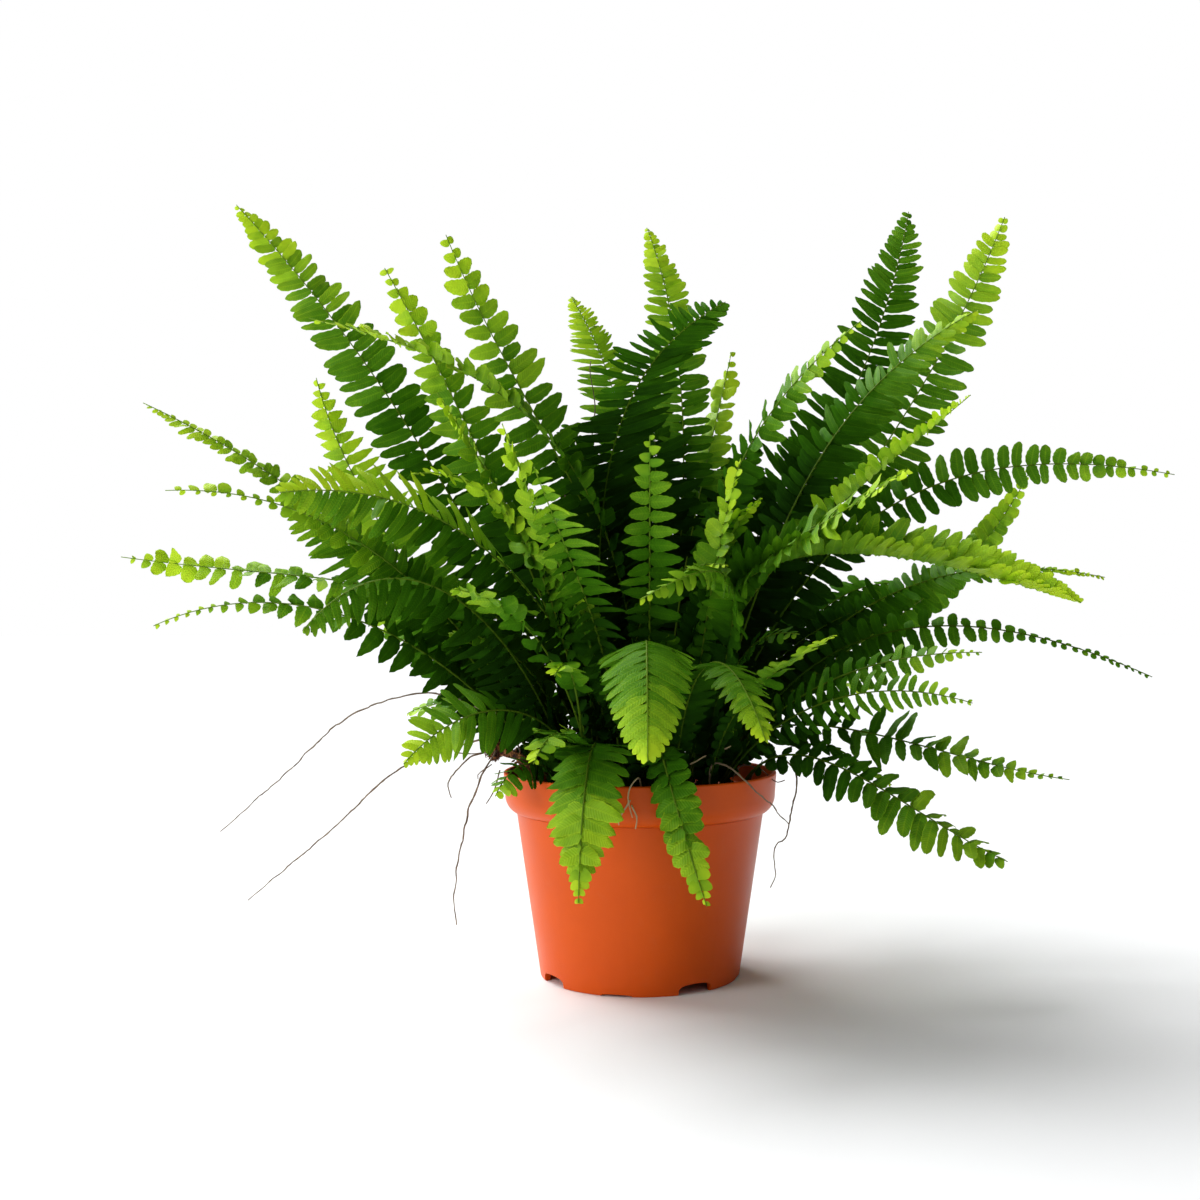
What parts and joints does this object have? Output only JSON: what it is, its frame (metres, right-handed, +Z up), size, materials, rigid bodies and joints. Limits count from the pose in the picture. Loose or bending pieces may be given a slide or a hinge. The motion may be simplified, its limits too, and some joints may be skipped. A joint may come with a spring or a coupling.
{
  "type": "potted sword fern",
  "caption": "Potted sword fern: a full crown of arching fronds with cut leaflets, wiry runners and peat soil in a round nursery pot.",
  "frame": {"origin": "under the middle of the pot, on the surface that it stands on", "axes": "+Z up, front towards -Y, +X to the right as seen from the front"},
  "size_m": [0.4718, 0.3622, 0.358],
  "materials": {
    "pot": "satin terracotta orange",
    "soil": "dark crumbly peat",
    "rhizome": "brown and scaly",
    "runner": "wiry grey brown",
    "frond_old": "dark green leaf with a soft gloss",
    "frond_full": "mid green leaf with a soft gloss",
    "frond_young": "light yellow green leaf with a soft gloss"
  },
  "bodies": {
    "root": {"pot": "pot", "soil": "soil", "rhizome": "rhizome", "runner_right": "runner", "root_front": "runner", "frond_left_01": "frond_old", "frond_left_02": "frond_young", "frond_left_03": "frond_full", "frond_left_04": "frond_full", "frond_left_05": "frond_young", "frond_left_06": "frond_full", "frond_left_07": "frond_full", "frond_left_08": "frond_young", "frond_left_09": "frond_full", "frond_left_10": "frond_young", "frond_left_11": "frond_full", "frond_left_12": "frond_full", "frond_left_13": "frond_old", "frond_left_14": "frond_young", "frond_left_15": "frond_old", "frond_left_16": "frond_old", "frond_left_17": "frond_young", "frond_centre_01": "frond_full", "frond_centre_02": "frond_full", "frond_centre_03": "frond_old", "frond_centre_04": "frond_young", "frond_centre_05": "frond_full", "frond_centre_06": "frond_young", "frond_centre_07": "frond_full", "frond_front_01": "frond_young", "frond_front_02": "frond_young", "frond_front_03": "frond_full", "frond_front_04": "frond_full", "frond_front_05": "frond_young", "frond_front_06": "frond_full", "frond_right_01": "frond_old", "frond_right_02": "frond_full", "frond_right_03": "frond_full", "frond_right_04": "frond_full", "frond_right_05": "frond_old", "frond_right_06": "frond_young", "frond_right_07": "frond_young", "frond_right_08": "frond_old", "frond_right_09": "frond_full", "frond_right_10": "frond_young", "frond_right_11": "frond_old", "frond_right_12": "frond_old", "frond_right_13": "frond_old", "frond_right_14": "frond_old", "frond_right_15": "frond_old", "frond_right_16": "frond_full", "frond_right_17": "frond_old", "frond_back_01": "frond_old", "frond_back_02": "frond_full", "frond_back_03": "frond_old", "frond_back_04": "frond_old", "frond_back_05": "frond_full", "frond_back_06": "frond_old", "frond_back_07": "frond_old"}
  },
  "joints": []
}
